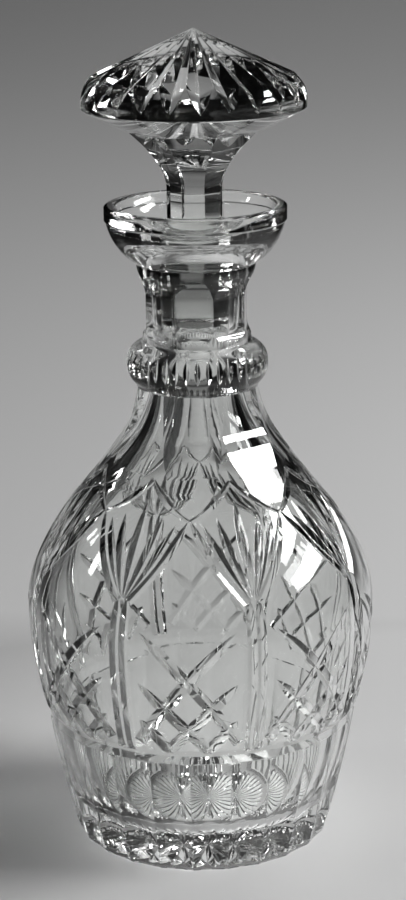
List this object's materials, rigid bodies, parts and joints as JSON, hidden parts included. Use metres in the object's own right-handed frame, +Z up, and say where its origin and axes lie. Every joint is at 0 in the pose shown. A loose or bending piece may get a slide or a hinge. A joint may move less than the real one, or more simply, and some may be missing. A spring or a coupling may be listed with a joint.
{
  "type": "decanter",
  "caption": "Cut-glass decanter with a rounded body, fluted base, ringed neck, wide lip and a mushroom-shaped glass stopper that lifts out.",
  "frame": {"origin": "on the axis of the bottle, in the plane that it stands on", "axes": "+Z up the axis of the bottle, -Y towards the middle of one panel of the cut pattern"},
  "size_m": [0.114, 0.114, 0.266],
  "materials": {
    "crystal": "polished"
  },
  "bodies": {
    "bottle": {"bottle": "crystal"},
    "stopper": {"stopper": "crystal"}
  },
  "joints": [
    {"name": "stopper_lift", "type": "slide", "parent": "bottle", "child": "stopper", "axis": [0, 0, 1], "range_m": [0, 0.045]}
  ]
}
